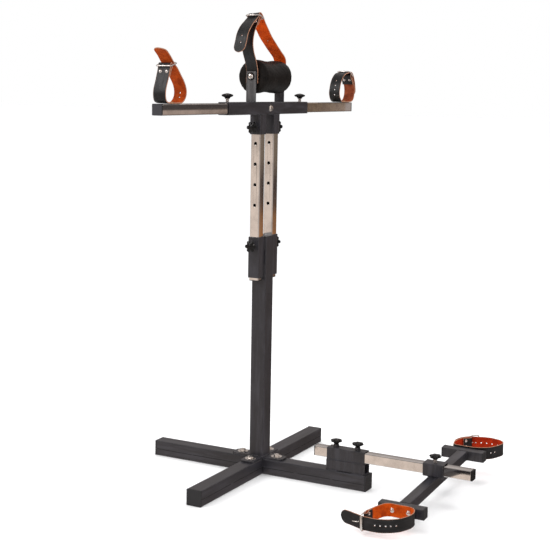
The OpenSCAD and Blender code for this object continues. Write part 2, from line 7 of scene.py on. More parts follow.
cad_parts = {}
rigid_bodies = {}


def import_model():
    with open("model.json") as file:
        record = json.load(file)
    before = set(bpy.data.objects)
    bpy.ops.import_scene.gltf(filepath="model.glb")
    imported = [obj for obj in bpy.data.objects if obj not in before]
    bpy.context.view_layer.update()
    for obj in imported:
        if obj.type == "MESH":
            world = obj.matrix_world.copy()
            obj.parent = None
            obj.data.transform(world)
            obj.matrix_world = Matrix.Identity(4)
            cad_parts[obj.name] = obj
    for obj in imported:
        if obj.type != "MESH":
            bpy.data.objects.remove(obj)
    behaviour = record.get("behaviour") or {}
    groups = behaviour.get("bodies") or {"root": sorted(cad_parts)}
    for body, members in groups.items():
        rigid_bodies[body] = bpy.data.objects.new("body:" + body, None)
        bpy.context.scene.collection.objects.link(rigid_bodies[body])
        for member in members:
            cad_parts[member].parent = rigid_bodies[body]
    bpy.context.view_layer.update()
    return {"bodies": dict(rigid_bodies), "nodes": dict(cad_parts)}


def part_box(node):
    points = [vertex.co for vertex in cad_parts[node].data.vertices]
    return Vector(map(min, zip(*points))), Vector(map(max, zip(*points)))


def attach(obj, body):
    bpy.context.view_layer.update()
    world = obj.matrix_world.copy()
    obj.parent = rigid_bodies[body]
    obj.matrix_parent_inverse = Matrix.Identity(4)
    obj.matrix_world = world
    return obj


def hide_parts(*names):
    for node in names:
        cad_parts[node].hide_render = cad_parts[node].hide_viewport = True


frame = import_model()
nodes = frame["nodes"]
MM = 0.001


# ---- Node helpers -----------------------------------------------------------
class Look:
    """One procedural material, built around a Principled shader."""

    def __init__(self, name, **inputs):
        self.mat = bpy.data.materials.new(name)
        self.mat.use_nodes = True
        self.tree = self.mat.node_tree
        self.bsdf = self.tree.nodes["Principled BSDF"]
        self.coord = self.node("ShaderNodeTexCoord")
        for key, value in inputs.items():
            self.bsdf.inputs[key.replace("_", " ")].default_value = value

    def node(self, kind, **props):
        n = self.tree.nodes.new(kind)
        for key, value in props.items():
            setattr(n, key, value)
        return n

    def put(self, socket, value):
        if hasattr(value, "is_output"):
            self.tree.links.new(value, socket)
        else:
            socket.default_value = value

    def space(self, scale, uv=False):
        m = self.node("ShaderNodeMapping")
        self.put(m.inputs["Vector"], self.coord.outputs["UV" if uv else "Object"])
        m.inputs["Scale"].default_value = scale
        return m.outputs["Vector"]

    def xyz(self, space="Object"):
        """The three coordinates of the shaded point."""
        n = self.node("ShaderNodeSeparateXYZ")
        self.put(n.inputs[0], self.coord.outputs[space])
        return n.outputs

    def noise(self, scale, detail=3.0, rough=0.5, where=None, warp=0.0):
        n = self.node("ShaderNodeTexNoise")
        self.put(n.inputs["Vector"], where or self.coord.outputs["Object"])
        n.inputs["Scale"].default_value = scale
        n.inputs["Detail"].default_value = detail
        n.inputs["Roughness"].default_value = rough
        n.inputs["Distortion"].default_value = warp
        return n.outputs["Fac"]

    def cells(self, scale, where=None, feature="F1"):
        n = self.node("ShaderNodeTexVoronoi", feature=feature)
        self.put(n.inputs["Vector"], where or self.coord.outputs["Object"])
        n.inputs["Scale"].default_value = scale
        return n.outputs["Distance"]

    def fit(self, value, a, b, lo=0.0, hi=1.0):
        n = self.node("ShaderNodeMapRange", interpolation_type="SMOOTHSTEP")
        for i, v in enumerate((value, a, b, lo, hi)):
            self.put(n.inputs[i], v)
        return n.outputs["Result"]

    def math(self, op, a, b=0.0, c=0.0):
        n = self.node("ShaderNodeMath", operation=op)
        for i, v in enumerate((a, b, c)):
            self.put(n.inputs[i], v)
        return n.outputs[0]

    def mix(self, fac, a, b):
        n = self.node("ShaderNodeMix", data_type="RGBA")
        for i, v in ((0, fac), (6, a), (7, b)):
            self.put(n.inputs[i], v if not isinstance(v, tuple) else (*v, 1.0)[:4])
        return n.outputs[2]

    def bump(self, height, depth, normal=None, strength=1.0):
        n = self.node("ShaderNodeBump")
        self.put(n.inputs["Height"], height)
        n.inputs["Distance"].default_value = depth
        n.inputs["Strength"].default_value = strength
        if normal is not None:
            self.put(n.inputs["Normal"], normal)
        return n.outputs["Normal"]

    def edges(self, radius):
        """1 along sharp edges, 0 on flat faces."""
        b = self.node("ShaderNodeBevel", samples=4)
        b.inputs["Radius"].default_value = radius
        g = self.node("ShaderNodeNewGeometry")
        d = self.node("ShaderNodeVectorMath", operation="DOT_PRODUCT")
        self.put(d.inputs[0], b.outputs["Normal"])
        self.put(d.inputs[1], g.outputs["Normal"])
        return self.fit(d.outputs["Value"], 0.985, 0.87)

    def finish(self, color=None, roughness=None, normal=None, metallic=None):
        for key, value in (("Base Color", color), ("Roughness", roughness),
                           ("Normal", normal), ("Metallic", metallic)):
            if value is not None:
                self.put(self.bsdf.inputs[key], value)
        return self.mat


# ---- Materials ---------------------------------------------------------------
# Limits in metres of where a plated tube's point lies, by its distance from the tube's axis:
# the farther of the two distances across, and the nearer.
BELOW_SKIN, WITHIN_HOLE, ON_BORE = (0.01240, 0.01222), (0.0092, 0.0086), (0.0114, 0.0111)


def drawn(axis, across, along):
    """Noise scale of marks drawn out along one axis."""
    return tuple(along if i == axis else across for i in range(3))


def paint(name, base=(0.0132, 0.0128, 0.0160), rough=0.38, along=2, line=None):
    """Satin black powder coat: orange peel, brownish dust, worn edges and pale wisps drawn
    out along an axis. line is the height in metres of a broken dark line along the sides."""
    k = Look(name, Specular_IOR_Level=0.5)
    broad = k.noise(9, 4, 0.6)
    dust = k.fit(k.noise(1500, 2, 0.7), 0.56, 0.72)
    tint = k.mix(k.fit(broad, 0.35, 0.7), base, tuple(c * 1.5 for c in base))
    wisp = k.fit(k.noise(1.0, 5, 0.7, k.space(drawn(along, 75.0, 7.0)), 0.3), 0.44, 0.66)
    tint = k.mix(k.math("MULTIPLY", wisp, 0.8), tint, tuple(c * 2.6 for c in base))
    tint = k.mix(k.math("MULTIPLY", dust, 0.55), tint, (0.085, 0.062, 0.048))
    wear = k.math("MULTIPLY", k.edges(0.0011), k.fit(k.noise(120, 4, 0.7), 0.42, 0.66))
    tint = k.mix(k.math("MULTIPLY", wear, 0.8), tint, (0.20, 0.19, 0.18))
    r = k.math("ADD", k.math("MULTIPLY", broad, 0.16), rough - 0.08)
    n = k.bump(k.noise(620, 2, 0.4), 0.00009, strength=0.7)
    n = k.bump(k.noise(26, 3, 0.5), 0.0004, n, 0.25)
    if line:
        wander = k.math("MULTIPLY", k.noise(14, 3, 0.5), 0.0016)
        off = k.math("ABSOLUTE", k.math("SUBTRACT", k.math("ADD", k.xyz()[2], wander), line))
        broken = k.fit(k.noise(48, 3, 0.6), 0.36, 0.46)
        groove = k.math("MULTIPLY", k.fit(off, 0.0011, 0.0006), broken)
        tint = k.mix(k.math("MULTIPLY", groove, 0.9), tint, (0.0015, 0.0015, 0.0015))
        r = k.math("ADD", r, k.math("MULTIPLY", groove, 0.4))
        n = k.bump(groove, -0.0004, n, 0.8)
    return k.finish(tint, r, n, k.math("MULTIPLY", wear, 0.5))


def chrome(name, axis, centre, crowned=1.6, tarnish=None):
    """Worn plating on a drawn tube whose faces are faintly crowned about its axis, bare and
    dark inside its bore and holes. tarnish gives where an olive stain fades, along the axis."""
    k = Look(name)
    tone = (0.80, 0.78, 0.765)
    streak = k.noise(700, 3, 0.6, k.space(drawn(axis, 1.0, 0.02)))
    cloud = k.noise(22, 5, 0.65)
    spots = k.fit(k.noise(210, 4, 0.7, warp=0.6), 0.62, 0.76)
    tint = k.mix(k.fit(cloud, 0.35, 0.75), tone, tuple(c * 0.80 for c in tone))
    tint = k.mix(k.math("MULTIPLY", spots, 0.45), tint, (0.30, 0.17, 0.10))
    if tarnish:
        along = k.math("ADD", k.xyz()[axis], k.math("MULTIPLY", k.noise(40, 4, 0.6), 0.03))
        blot = k.fit(k.noise(55, 4, 0.7, warp=0.7), 0.45, 0.60)
        olive = k.mix(blot, (0.74, 0.64, 0.52), (0.60, 0.51, 0.44))
        tint = k.mix(k.fit(along, *tarnish), olive, tint)
    r = k.math("ADD", k.math("MULTIPLY", cloud, 0.12), k.math("MULTIPLY", streak, 0.06))
    r = k.math("ADD", r, k.math("MULTIPLY", spots, 0.25))
    at = k.xyz()
    crown, reach, least = None, None, None
    for i in range(3):
        if i != axis:
            d = k.math("SUBTRACT", at[i], centre[i])
            far = k.math("ABSOLUTE", d)
            d = k.math("MULTIPLY", k.math("MULTIPLY", d, d), -crowned)
            crown = d if crown is None else k.math("ADD", crown, d)
            least = far if least is None else k.math("MINIMUM", least, far)
            reach = far if reach is None else k.math("MAXIMUM", reach, far)
    hole = k.math("MULTIPLY", k.fit(reach, *BELOW_SKIN), k.fit(least, *WITHIN_HOLE))
    bare = k.math("MAXIMUM", k.fit(reach, *ON_BORE), hole)
    tint = k.mix(bare, tint, (0.035, 0.026, 0.022))
    r = k.math("MAXIMUM", r, k.math("MULTIPLY", bare, 0.7))
    n = k.bump(crown, 1.0)
    n = k.bump(k.noise(9, 2, 0.4, k.space(drawn(axis, 1.0, 0.02))), 0.0012, n, 0.2)
    n = k.bump(streak, 0.000012, n, 0.6)
    return k.finish(tint, r, n, k.math("SUBTRACT", 1.0, bare))


def steel(name, tone=(0.68, 0.65, 0.625), rough=0.28):
    """Bright zinc or nickel on small fasteners."""
    k = Look(name)
    cloud = k.noise(160, 4, 0.7)
    stain = k.fit(k.noise(420, 4, 0.75, warp=0.4), 0.60, 0.75)
    tint = k.mix(k.math("MULTIPLY", stain, 0.5), tone, (0.33, 0.22, 0.14))
    r = k.math("ADD", k.math("MULTIPLY", cloud, 0.22), rough - 0.09)
    n = k.bump(k.noise(1500, 3, 0.6), 0.00003, strength=0.6)
    return k.finish(tint, r, n, 1.0)


CAP_GAP_SHADE = (0.4858, 0.4853)    # metres along Y, past and short of where a cap meets its tube: a band of painted shade


def plastic(name, tone=(0.0028, 0.0028, 0.0031), rough=0.26, grain=1.0, seam=False):
    """Moulded plastic with a fine spark-eroded grain and handling marks. seam paints shade,
    a dark band where an arm's cap meets its tube."""
    k = Look(name, Specular_IOR_Level=0.30)
    cloud = k.noise(60, 4, 0.65)
    scuff = k.fit(k.noise(350, 5, 0.75, warp=0.8), 0.60, 0.78)
    tint = k.mix(k.math("MULTIPLY", scuff, 0.6), tone, tuple(min(1, c * 3.0 + 0.006) for c in tone))
    r = k.math("ADD", k.math("MULTIPLY", cloud, 0.25), rough - 0.1)
    if seam:
        # painted shade: a near-black band at the cap's joint with the tube
        gap_shade = k.fit(k.math("ABSOLUTE", k.xyz()[1]), *CAP_GAP_SHADE)
        tint = k.mix(gap_shade, tint, (0.002, 0.002, 0.002))
    n = k.bump(k.cells(1900), 0.00007 * grain, strength=0.7)
    n = k.bump(k.noise(900, 3, 0.6), 0.00008 * grain, n, 0.6)
    return k.finish(tint, r, n)


def leather_face(name):
    """The straps' finished side: nearly black, with long grey streaks of painted sheen, and grain.
    """
    k = Look(name, Specular_IOR_Level=0.34, Sheen_Weight=0.02, Sheen_Roughness=0.45)
    long = k.space((30, 260, 1), uv=True)
    streak = k.fit(k.noise(1.0, 5, 0.65, long), 0.42, 0.72)
    patch = k.noise(26, 4, 0.6, k.space((1, 1, 1), uv=True))
    fine = k.noise(1500, 3, 0.6)
    # painted sheen: long streaks lighten the near-black base along the strap
    tint = k.mix(streak, (0.0028, 0.0028, 0.0032), (0.0125, 0.0122, 0.0135))
    tint = k.mix(k.fit(patch, 0.45, 0.75, 0, 0.45), tint, (0.022, 0.0215, 0.0235))
    rub = k.math("MULTIPLY", k.edges(0.0013), k.fit(k.noise(300, 4, 0.7), 0.45, 0.62))
    tint = k.mix(k.math("MULTIPLY", rub, 0.7), tint, (0.16, 0.085, 0.05))
    crease = k.noise(1.0, 4, 0.62, k.space((330, 24, 1), uv=True), 0.6)
    grain = k.cells(780, k.space((1, 1, 1), uv=True), "SMOOTH_F1")
    n = k.bump(crease, 0.0007, strength=0.35)
    n = k.bump(grain, 0.00016, n, 0.8)
    n = k.bump(fine, 0.00008, n, 0.6)
    r = k.math("ADD", k.math("MULTIPLY", streak, 0.16), k.math("MULTIPLY", fine, 0.16))
    return k.finish(tint, k.math("ADD", r, 0.34), n)


def leather_back(name, tone):
    """The straps' rust-orange flesh side, with a short nap."""
    k = Look(name, Specular_IOR_Level=0.07, Sheen_Weight=0.02, Sheen_Roughness=0.5)
    k.bsdf.inputs["Sheen Tint"].default_value = (1.0, 0.45, 0.2, 1)
    blot = k.noise(45, 5, 0.65, k.space((1, 1, 1), uv=True))
    fibre = k.noise(1.0, 4, 0.7, k.space((900, 2100, 1), uv=True), 0.8)
    dark = tuple(c * f for c, f in zip(tone, (0.52, 0.42, 0.40)))
    pale = (min(1, tone[0] * 1.12), min(1, tone[1] * 1.35 + 0.010), tone[2] * 1.8 + 0.006)
    tint = k.mix(k.fit(blot, 0.32, 0.68), dark, tone)
    tint = k.mix(k.fit(fibre, 0.5, 0.85, 0, 0.6), tint, pale)
    n = k.bump(fibre, 0.00022, strength=0.8)
    n = k.bump(blot, 0.0006, n, 0.3)
    return k.finish(tint, 0.78, n)


def leather_edge(name):
    """Cut, unpainted edge of the straps: layered tan fibre."""
    k = Look(name, Specular_IOR_Level=0.2)
    lay = k.noise(1.0, 4, 0.7, k.space((160, 2600, 1), uv=True))
    spot = k.noise(240, 4, 0.7)
    tint = k.mix(k.fit(lay, 0.3, 0.7), (0.20, 0.085, 0.050), (0.52, 0.27, 0.17))
    tint = k.mix(k.fit(spot, 0.50, 0.70, 0, 0.75), tint, (0.10, 0.045, 0.030))
    return k.finish(tint, 0.8, k.bump(lay, 0.0002, strength=0.8))


def roller_leather(name):
    """Soft dark brown cover of the roller."""
    k = Look(name, Specular_IOR_Level=0.16, Sheen_Weight=0.01, Sheen_Roughness=0.5)
    uv = k.space((1, 1, 1), uv=True)
    blot = k.noise(32, 5, 0.6, uv)
    tint = k.mix(k.fit(blot, 0.3, 0.7), (0.0020, 0.0015, 0.0013), (0.0075, 0.0052, 0.0042))
    dust = k.fit(k.noise(1300, 3, 0.7), 0.58, 0.74)
    tint = k.mix(k.math("MULTIPLY", dust, 0.25), tint, (0.055, 0.040, 0.030))
    grain = k.cells(640, uv, "SMOOTH_F1")
    pull = k.noise(1.0, 4, 0.6, k.space((120, 28, 1), uv=True), 0.7)
    n = k.bump(pull, 0.0007, strength=0.25)
    n = k.bump(grain, 0.0002, n, 0.8)
    n = k.bump(k.noise(1700, 2, 0.6), 0.00007, n, 0.6)
    r = k.math("ADD", k.math("MULTIPLY", blot, 0.22), 0.40)
    return k.finish(tint, r, n)


BAR_AXIS = (0, 0, 0.9255)
PAINT = paint("black_paint")
BASE_PAINT_X = paint("base_paint_x", along=0, line=0.0185)
BASE_PAINT_Y = paint("base_paint_y", along=1, line=0.0190)
BAR_PAINT = paint("bar_paint", along=1)
# painted light: a lighter copy of the black paint, used only on the near roller bracket
LIT_BRACKET_PAINT = paint("bracket_paint_lit", (0.040, 0.039, 0.040), 0.34)
POST_FRONT = chrome("plating_post_front", 2, (0, -0.035, 0), 0.35)
POST_REAR = chrome("plating_post_rear", 2, (0, 0.035, 0), 0.35)
ARM_LEFT = chrome("plating_arm_left", 1, BAR_AXIS, 3.6)
ARM_RIGHT = chrome("plating_arm_right", 1, BAR_AXIS, 0.45, tarnish=(0.452, 0.472))
ANKLE = chrome("plating_ankle", 0, (0, 0, 0.082))
STEEL = steel("bright_steel")
SHINY = steel("polished_steel", (0.78, 0.745, 0.71), 0.24)
BRASS = steel("brass", (0.55, 0.38, 0.16), 0.32)
BLACK_PLASTIC = plastic("black_plastic")
CAP_PLASTIC = plastic("cap_plastic", (0.0190, 0.0188, 0.0205), 0.46, 1.8)
BLACK_STEEL = steel("blackened_steel", (0.050, 0.046, 0.044), 0.34)
GREY_PLASTIC = plastic("grey_plastic", (0.036, 0.035, 0.040), 0.55, 2.4, True)
FACE = leather_face("strap_face")
EDGE = leather_edge("strap_edge")
BACK = {
    "neck": leather_back("strap_back_neck", (0.58, 0.070, 0.004)),
    "left": leather_back("strap_back_left", (0.40, 0.060, 0.006)),
    "right": leather_back("strap_back_right", (0.25, 0.062, 0.026)),
    "front": leather_back("strap_back_front", (0.60, 0.088, 0.006)),
    "rear": leather_back("strap_back_rear", (0.43, 0.028, 0.004)),
}
ROLLER = roller_leather("roller_cover")


# ---- Mesh helpers -------------------------------------------------------------
class Shape:
    """Gathers closed surfaces, in millimetres, into one object in metres."""

    def __init__(self):
        self.v, self.f, self.m, self.uv = [], [], [], []

    def add(self, verts, faces, mat=0, place=None, uvs=None):
        base = len(self.v)
        self.v += [place @ Vector(p) if place else Vector(p) for p in verts]
        for i, f in enumerate(faces):
            self.f.append([base + j for j in f])
            self.m.append(mat[i] if isinstance(mat, list) else mat)
            self.uv.append(uvs[i] if uvs else None)

    def build(self, name, mats, body, replaces=(), angle=38):
        mesh = bpy.data.meshes.new(name)
        mesh.from_pydata([p * MM for p in self.v], [], self.f)
        layer = mesh.uv_layers.new(name="UVMap")
        for poly, m, uv in zip(mesh.polygons, self.m, self.uv):
            poly.material_index = m
            for j, loop in enumerate(poly.loop_indices):
                p = mesh.vertices[mesh.loops[loop].vertex_index].co
                layer.data[loop].uv = uv[j] if uv else (p.x + p.z * 0.6, p.y + p.z * 0.8)
        bm = bmesh.new()
        bm.from_mesh(mesh)
        bmesh.ops.recalc_face_normals(bm, faces=bm.faces)
        bm.to_mesh(mesh)
        bm.free()
        for m in mats:
            mesh.materials.append(m)
        mesh.shade_smooth()
        mesh.set_sharp_from_angle(angle=math.radians(angle))
        obj = bpy.data.objects.new(name, mesh)
        bpy.context.scene.collection.objects.link(obj)
        if replaces:
            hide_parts(*replaces)
        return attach(obj, body)


def rings(loops, closed_path=False, caps=True):
    """Joins loops of equal length into a skin, with fans over its two ends."""
    n, k = len(loops[0]), len(loops)
    verts = [p for loop in loops for p in loop]
    faces = []
    for i in range(k if closed_path else k - 1):
        a, b = i * n, ((i + 1) % k) * n
        faces += [(a + j, a + (j + 1) % n, b + (j + 1) % n, b + j) for j in range(n)]
    if caps and not closed_path:
        faces += [tuple(range(n - 1, -1, -1)), tuple((k - 1) * n + j for j in range(n))]
    return verts, faces


def lathe(profile, n=48, radius=None):
    """Revolves (radius, height) pairs about Z. radius(angle, r, z) reshapes a point."""
    loops = []
    for r, z in profile:
        loop = []
        for j in range(n):
            a = 2 * math.pi * j / n
            rr, zz = radius(a, r, z) if radius else (r, z)
            loop.append((rr * math.cos(a), rr * math.sin(a), zz))
        loops.append(loop)
    return rings(loops)


def sweep(points, radius, sides=12, closed=False):
    """A round bar along points. radius is a number or a function of the index."""
    pts = [Vector(p) for p in points]
    k = len(pts)
    up, loops = None, []
    for i, p in enumerate(pts):
        a = pts[(i - 1) % k] if closed or i else pts[0]
        b = pts[(i + 1) % k] if closed or i < k - 1 else pts[-1]
        t = (b - a).normalized()
        if up is None:
            up = t.orthogonal().normalized()
        up = (up - t * up.dot(t)).normalized()
        side = t.cross(up)
        r = radius(i) if callable(radius) else radius
        loops.append([p + (up * math.cos(q) + side * math.sin(q)) * r
                      for q in (2 * math.pi * j / sides for j in range(sides))])
    return rings(loops, closed)


def round_rect(w, d, r, n=5):
    """Centreline of a rectangle with rounded corners, in the plane of X and Y."""
    out = []
    for c, (sx, sy) in enumerate(((1, 1), (-1, 1), (-1, -1), (1, -1))):
        for i in range(n + 1):
            a = math.radians(90 * c + 90 * i / n)
            out.append(Vector((sx * (w / 2 - r) + r * math.cos(a),
                               sy * (d / 2 - r) + r * math.sin(a), 0)))
    return out


def spline_at(p, i, t):
    """Point of the smooth curve through p, at share t of the way from point i to the next."""
    m = len(p) - 1
    a, b, c, d = (Vector(p[j]) for j in (max(i - 1, 0), i, min(i + 1, m), min(i + 2, m)))
    return 0.5 * (2 * b + (c - a) * t + (2 * a - 5 * b + 4 * c - d) * t * t
                  + (3 * b - a - 3 * c + d) * t ** 3)


def spline_frame(p, i, t):
    """Point and left-hand normal of the curve at one place."""
    d = (spline_at(p, i, t + 0.02) - spline_at(p, i, t - 0.02)).normalized()
    return spline_at(p, i, t), Vector((-d.y, d.x))


def even(p, step):
    """Points at even distances along the smooth curve, with their distances."""
    fine = [spline_at(p, i, k / 40) for i in range(len(p) - 1) for k in range(40)]
    fine.append(Vector(p[-1]))
    s = [0.0]
    for a, b in zip(fine, fine[1:]):
        s.append(s[-1] + (b - a).length)
    count = round(s[-1] / step)
    out, j = [], 0
    for i in range(count + 1):
        want = s[-1] * i / count
        while j < len(s) - 2 and s[j + 1] < want:
            j += 1
        f = (want - s[j]) / max(s[j + 1] - s[j], 1e-9)
        out.append(fine[j].lerp(fine[j + 1], f))
    return out, s[-1]


def axes(origin, z, x=None):
    """Frame at origin with Z along z, in millimetres."""
    z = Vector(z).normalized()
    x = Vector(x) if x else z.orthogonal()
    x = (x - z * x.dot(z)).normalized()
    m = Matrix((x, z.cross(x), z)).transposed().to_4x4()
    m.translation = Vector(origin)
    return m


# ---- Straps --------------------------------------------------------------------
STRAP_W, STRAP_T, PUNCH_R = 32.0, 2.3, 1.75
SEAT = 1.8                      # a strap's middle above the face that it is screwed to
ARM_TOP = 938                   # top faces of the two arms
NEAR_AT, FAR_AT = 436, 447      # middles of the wrist cuffs along the arms
CROSS_FACE, CROSS_Z = 216, -28  # outer faces and middle height of the spreader's end tubes
SPREADER_TOP = 16               # top of the spreader's sleeve in its own frame
SPREAD = Matrix.Translation((477, 0, 82)) @ Matrix.Rotation(math.radians(3.7), 4, "X")


# A strap's curve is drawn in u and v. The third measure, w, goes across its width.
def near_place(u, v, w):
    return Vector((w, -(NEAR_AT + u), ARM_TOP + v))


def far_place(u, v, w):
    return Vector((w, FAR_AT + u, ARM_TOP + v))


def neck_place(u, v, w):
    return Vector((w, u, v))


def front_place(u, v, w):
    return SPREAD @ Vector((u, -(CROSS_FACE + v), CROSS_Z + w))


def rear_place(u, v, w):
    return SPREAD @ Vector((u, CROSS_FACE + v, CROSS_Z + w))


NEAR = [(23.8, 58), (18.6, 71), (13.9, 80.5), (16.4, 86.4), (20.3, 82.5), (22.2, 73),
        (27.4, 58), (36.5, 36), (39.9, 20), (36.5, 7.5), (28, 2.8), (14, 1.8),
        (-14, 1.8), (-28, 3), (-40, 13), (-43.3, 28), (-37, 43), (-22, 60), (-7, 75.5),
        (3, 83), (13, 92), (31, 109), (48, 117.5)]
FAR = [(37.4, 49.6), (32, 59), (22.5, 69.5), (20.5, 75.5), (26, 75.5), (35.6, 62),
       (41.5, 53), (47.5, 41), (48.5, 28), (43.5, 12.5), (32, 3.6), (14, 1.8),
       (-14, 1.8), (-33, 3.2), (-45, 13), (-49.3, 27.4), (-43, 50.5), (-27, 69.5), (-10, 78),
       (4, 79.8), (16, 83), (28, 81.5), (38.5, 72.5), (46, 60.5), (52, 45), (53.8, 28), (51.5, 16)]
NECK_BUCKLE = [(-69, 985), (-69, 1000), (-69, 1016), (-76, 1035), (-90.5, 1062),
               (-94, 1085), (-86, 1107), (-73.5, 1125.5), (-67, 1135.5), (-61.6, 1143.5),
               (-57.2, 1146.2), (-55.6, 1140.8), (-64, 1133.6), (-70.7, 1123.6)]
NECK_TAIL = [(69, 985), (69, 1000), (69.5, 1016), (74, 1031), (73.5, 1042.5), (65, 1052.5),
             (50, 1062), (1, 1094.5), (-31, 1124), (-44, 1138), (-51, 1145.5), (-58, 1150.5),
             (-64.5, 1149.5), (-68.5, 1141.5), (-80, 1134), (-95, 1124.5), (-111, 1110.5),
             (-121, 1096), (-127, 1080), (-138, 1057)]
FRONT = [(-47.5, 49), (-51, 61), (-48.6, 74.8), (-52, 80.4), (-55.4, 75.5), (-54.6, 61),
         (-49.5, 43), (-41, 20), (-35, 8.5), (-24.5, 2.2), (-10, 1.8), (10, 1.8), (24.5, 2.2),
         (34, 7.5), (41, 20), (43, 40), (37, 59), (25, 77), (5, 91), (-18, 98), (-40, 98),
         (-54, 95.5), (-79, 86), (-104, 78), (-112, 76)]
REAR = [(-24.7, 55.2), (-19.4, 60.8), (-10.8, 66), (-8.7, 72.3), (-14.6, 72), (-23.2, 64),
        (-29, 55.6), (-34.5, 41), (-37, 20), (-32, 6.5), (-24.5, 2.2), (-10, 1.8), (10, 1.8),
        (24.5, 2.2), (41, 8.5), (60, 22), (75, 48), (77, 66), (68, 79), (50, 86), (30, 87.6),
        (12, 84), (-3, 79.4), (-15, 75.8), (-25, 68.2), (-32.6, 57.6), (-38.5, 42), (-41.5, 24)]


def section(half):
    """Cross-section of a strap as (across, out, finish): 0 face, 1 back, 2 cut edge."""
    r, t, k = 0.7, STRAP_T / 2, 8
    flat = [(-1 + 2 * i / k) * (half - r) for i in range(k + 1)]
    pts = [(a, t, 0) for a in flat]
    pts += [(half - r + r * 0.71, t - r * 0.29, 2), (half, t - r, 2), (half, r - t, 2),
            (half - r + r * 0.71, r * 0.29 - t, 2)]
    pts += [(a, -t, 1) for a in reversed(flat)]
    pts += [(r - half - r * 0.71, r * 0.29 - t, 2), (-half, r - t, 2), (-half, t - r, 2),
            (r - half - r * 0.71, t - r * 0.29, 2)]
    pts[k] = (pts[k][0], t, 2)
    pts[2 * k + 5] = (pts[2 * k + 5][0], -t, 2)
    return pts


def strap(name, path, place, outer, body, node, back, seed, holes=(), tail=True, roll=None,
          seated=True):
    """A leather strap along a curve. outer is 1 where its finished side lies to the left
    of the curve, and -1 where it lies to the right. roll(share) turns it about itself.
    holes are (point, share) places on the curve. A seated strap is smooth where it is
    screwed down."""
    pts, length = even(path, 1.7)
    shape = Shape()
    loops, uvs_at = [], []
    n = len(pts)
    half_full, wave = STRAP_W / 2, 0.55
    for i, p in enumerate(pts):
        d = (pts[min(i + 1, n - 1)] - pts[max(i - 1, 0)]).normalized()
        out = Vector((-d.y, d.x)) * outer
        s = length * i / (n - 1)
        left = length - s
        half = half_full
        if tail and left < half_full:
            half = max(math.sqrt(max(half_full ** 2 - (half_full - left) ** 2, 0)), 2.0)
        turn = math.radians(roll(s / length)) if roll else 0.0
        calm = min(1.0, max(0.0, (p.y - 4) / 12)) if seated else 1.0
        ring, marks = [], []
        for a, b, _ in section(half):
            x = a / half_full
            bow = 0.45 * (x * x - 0.4) * calm
            ripple = noise.noise((s * 0.045, x * 1.1 + seed * 7.3, seed))
            ripple = wave * calm * ripple * (0.4 + x * x)
            edge = 0.35 * noise.noise((s * 0.06, seed + 3.1 * (1 if a > 0 else -1), 4.7)) * abs(x)
            bb = b + bow + ripple
            aa = a + edge
            wa = aa * math.cos(turn) - bb * math.sin(turn)
            wb = aa * math.sin(turn) + bb * math.cos(turn)
            q = p + out * wb
            ring.append(place(q.x, q.y, wa))
            marks.append((s * MM, a * MM + b * MM * 1.5))
        loops.append(ring)
        uvs_at.append(marks)
    verts, faces = rings(loops)
    m = len(loops[0])
    kinds = [c for _, _, c in section(half_full)]
    mats, uvs = [], []
    for i in range(n - 1):
        for j in range(m):
            mats.append(kinds[j])
            j2 = (j + 1) % m
            uvs.append([uvs_at[i][j], uvs_at[i][j2], uvs_at[i + 1][j2], uvs_at[i + 1][j]])
    mats += [2, 2]
    uvs += [[uvs_at[0][j] for j in range(m - 1, -1, -1)], list(uvs_at[-1])]
    shape.add(verts, faces, mats, None, uvs)
    obj = shape.build(name, [FACE, BACK[back], EDGE], body, [node], 50)
    if holes:
        cutter = Shape()
        for i, t in holes:
            p, nrm = spline_frame(path, i, t)
            a, b = place(*p, 0), place(*(p + nrm), 0)
            cutter.add(*lathe([(PUNCH_R, -8), (PUNCH_R, 8)], 20), 0, axes(a, b - a))
        tool = cutter.build(name + "_punch", [EDGE], body)
        cut = obj.modifiers.new("punch", "BOOLEAN")
        cut.operation, cut.solver, cut.object = "DIFFERENCE", "EXACT", tool
        cut.material_mode = "TRANSFER"
        bpy.context.view_layer.update()
        graph = bpy.context.evaluated_depsgraph_get()
        done = bpy.data.meshes.new_from_object(obj.evaluated_get(graph))
        obj.modifiers.clear()
        obj.data = done
        bpy.data.objects.remove(tool)
    return obj


def neck_roll(share):
    return 5.0 * math.sin(min(1.0, share * 1.15) * math.pi) + 1.5


strap("neck_strap_near", NECK_BUCKLE, neck_place, 1, "head", "neck_strap_buckle_side", "neck", 1,
      tail=False, roll=lambda s: 3.0 * math.sin(s * math.pi), seated=False)
strap("neck_strap_far", NECK_TAIL, neck_place, -1, "head", "neck_strap_tail_side", "neck", 2,
      holes=[(17, 0.0), (18, 0.0), (6, 0.85)], roll=neck_roll, seated=False)
strap("wrist_cuff_left", NEAR, near_place, 1, "near_arm", "wrist_cuff_near", "left", 3,
      holes=[(14, 0.05), (14, 0.7)])
strap("wrist_cuff_right", FAR, far_place, 1, "far_arm", "wrist_cuff_far", "right", 4,
      holes=[(14, 0.6), (15, 0.33), (15, 0.8), (16, 0.37)])
strap("ankle_strap_front", FRONT, front_place, -1, "spreader", "ankle_cuff_front", "front", 5,
      holes=[(17, 0.15), (17, 0.65), (18, 0.1), (18, 0.6), (19, 0.1)])
strap("ankle_strap_rear", REAR, rear_place, -1, "spreader", "ankle_cuff_rear", "rear", 6,
      holes=[(15, 0.0), (15, 0.38), (18, 0.62), (19, 0.43), (20, 0.16), (20, 0.92), (21, 0.8)])


# ---- Buckles, rivets and screws -------------------------------------------------
BUCKLE_W, BUCKLE_D = 42.0, 26.0
RIVETS_APART = 16.0
DOME = [(0.05, 2.3), (1.4, 2.15), (2.7, 1.7), (3.7, 0.95), (4.2, 0.15), (4.1, -0.25)]
BURR = [(0.05, 1.5), (1.3, 1.4), (2.5, 1.05), (3.4, 0.55), (3.75, 0.05), (3.7, -0.3)]


